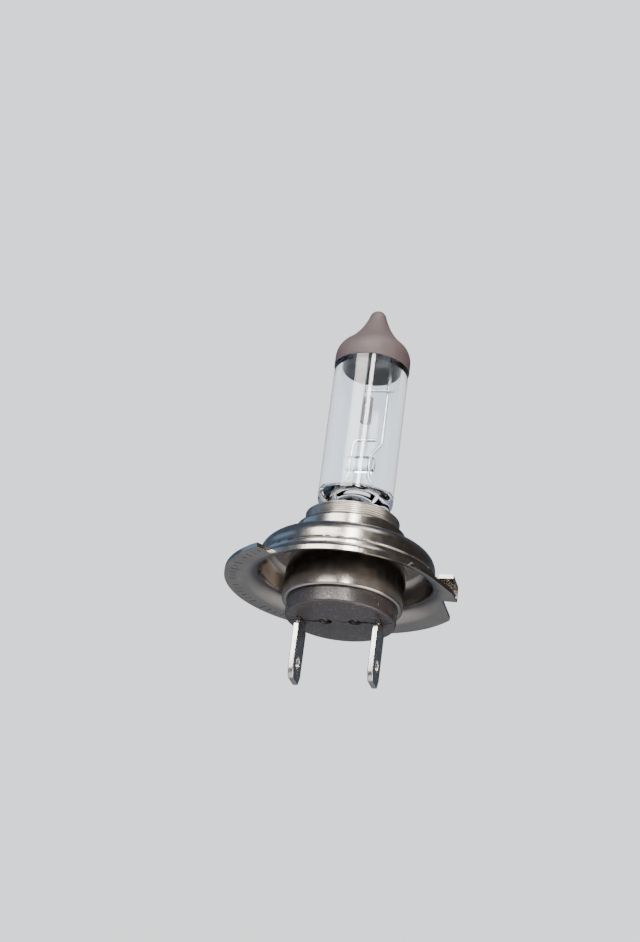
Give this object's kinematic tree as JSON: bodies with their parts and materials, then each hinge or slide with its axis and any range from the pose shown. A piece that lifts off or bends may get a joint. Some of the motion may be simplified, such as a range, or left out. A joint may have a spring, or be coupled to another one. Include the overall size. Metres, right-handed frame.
{
  "type": "headlight bulb",
  "caption": "Halogen headlight bulb with an axial coil in a tip-shaded quartz burner, a pressed metal centring ring and two flat blade terminals.",
  "frame": {"origin": "centre of the reference plane, the tops of the three seat bosses on the glass side of the ring", "axes": "+Z along the bulb's axis towards the glass tip, +X from the left blade to the right blade"},
  "size_m": [0.0325, 0.0313, 0.0586],
  "materials": {
    "quartz_glass": "clear fire-polished quartz",
    "shade_paint": "matt dark grey-brown heat-proof coating",
    "tungsten": "drawn tungsten wire",
    "molybdenum": "drawn molybdenum wire and rolled foil",
    "nickel_wire": "bright nickel-plated wire and strip",
    "spring_steel": "rolled spring steel",
    "nickel_plated_steel": "warm bright nickel plate over drawn steel",
    "insulator_resin": "dark moulded heat-proof resin, semi-matt",
    "tinned_brass": "tin-plated stamped brass"
  },
  "bodies": {
    "root": {"glass_envelope": "quartz_glass", "shade_coating": "shade_paint", "filament_coil": "tungsten", "long_support_wire": "molybdenum", "short_support_wire": "molybdenum", "upper_cross_wire": "molybdenum", "glass_bridge": "quartz_glass", "foil_left": "molybdenum", "foil_right": "molybdenum", "outer_lead_left": "nickel_wire", "outer_lead_right": "nickel_wire", "burner_clamp": "spring_steel", "focusing_collar": "nickel_plated_steel", "cap_shell": "nickel_plated_steel", "prefocus_ring": "nickel_plated_steel", "insulator_body": "insulator_resin", "weld_strap_left": "nickel_wire", "weld_strap_right": "nickel_wire", "blade_terminal_left": "tinned_brass", "blade_terminal_right": "tinned_brass"}
  },
  "joints": []
}
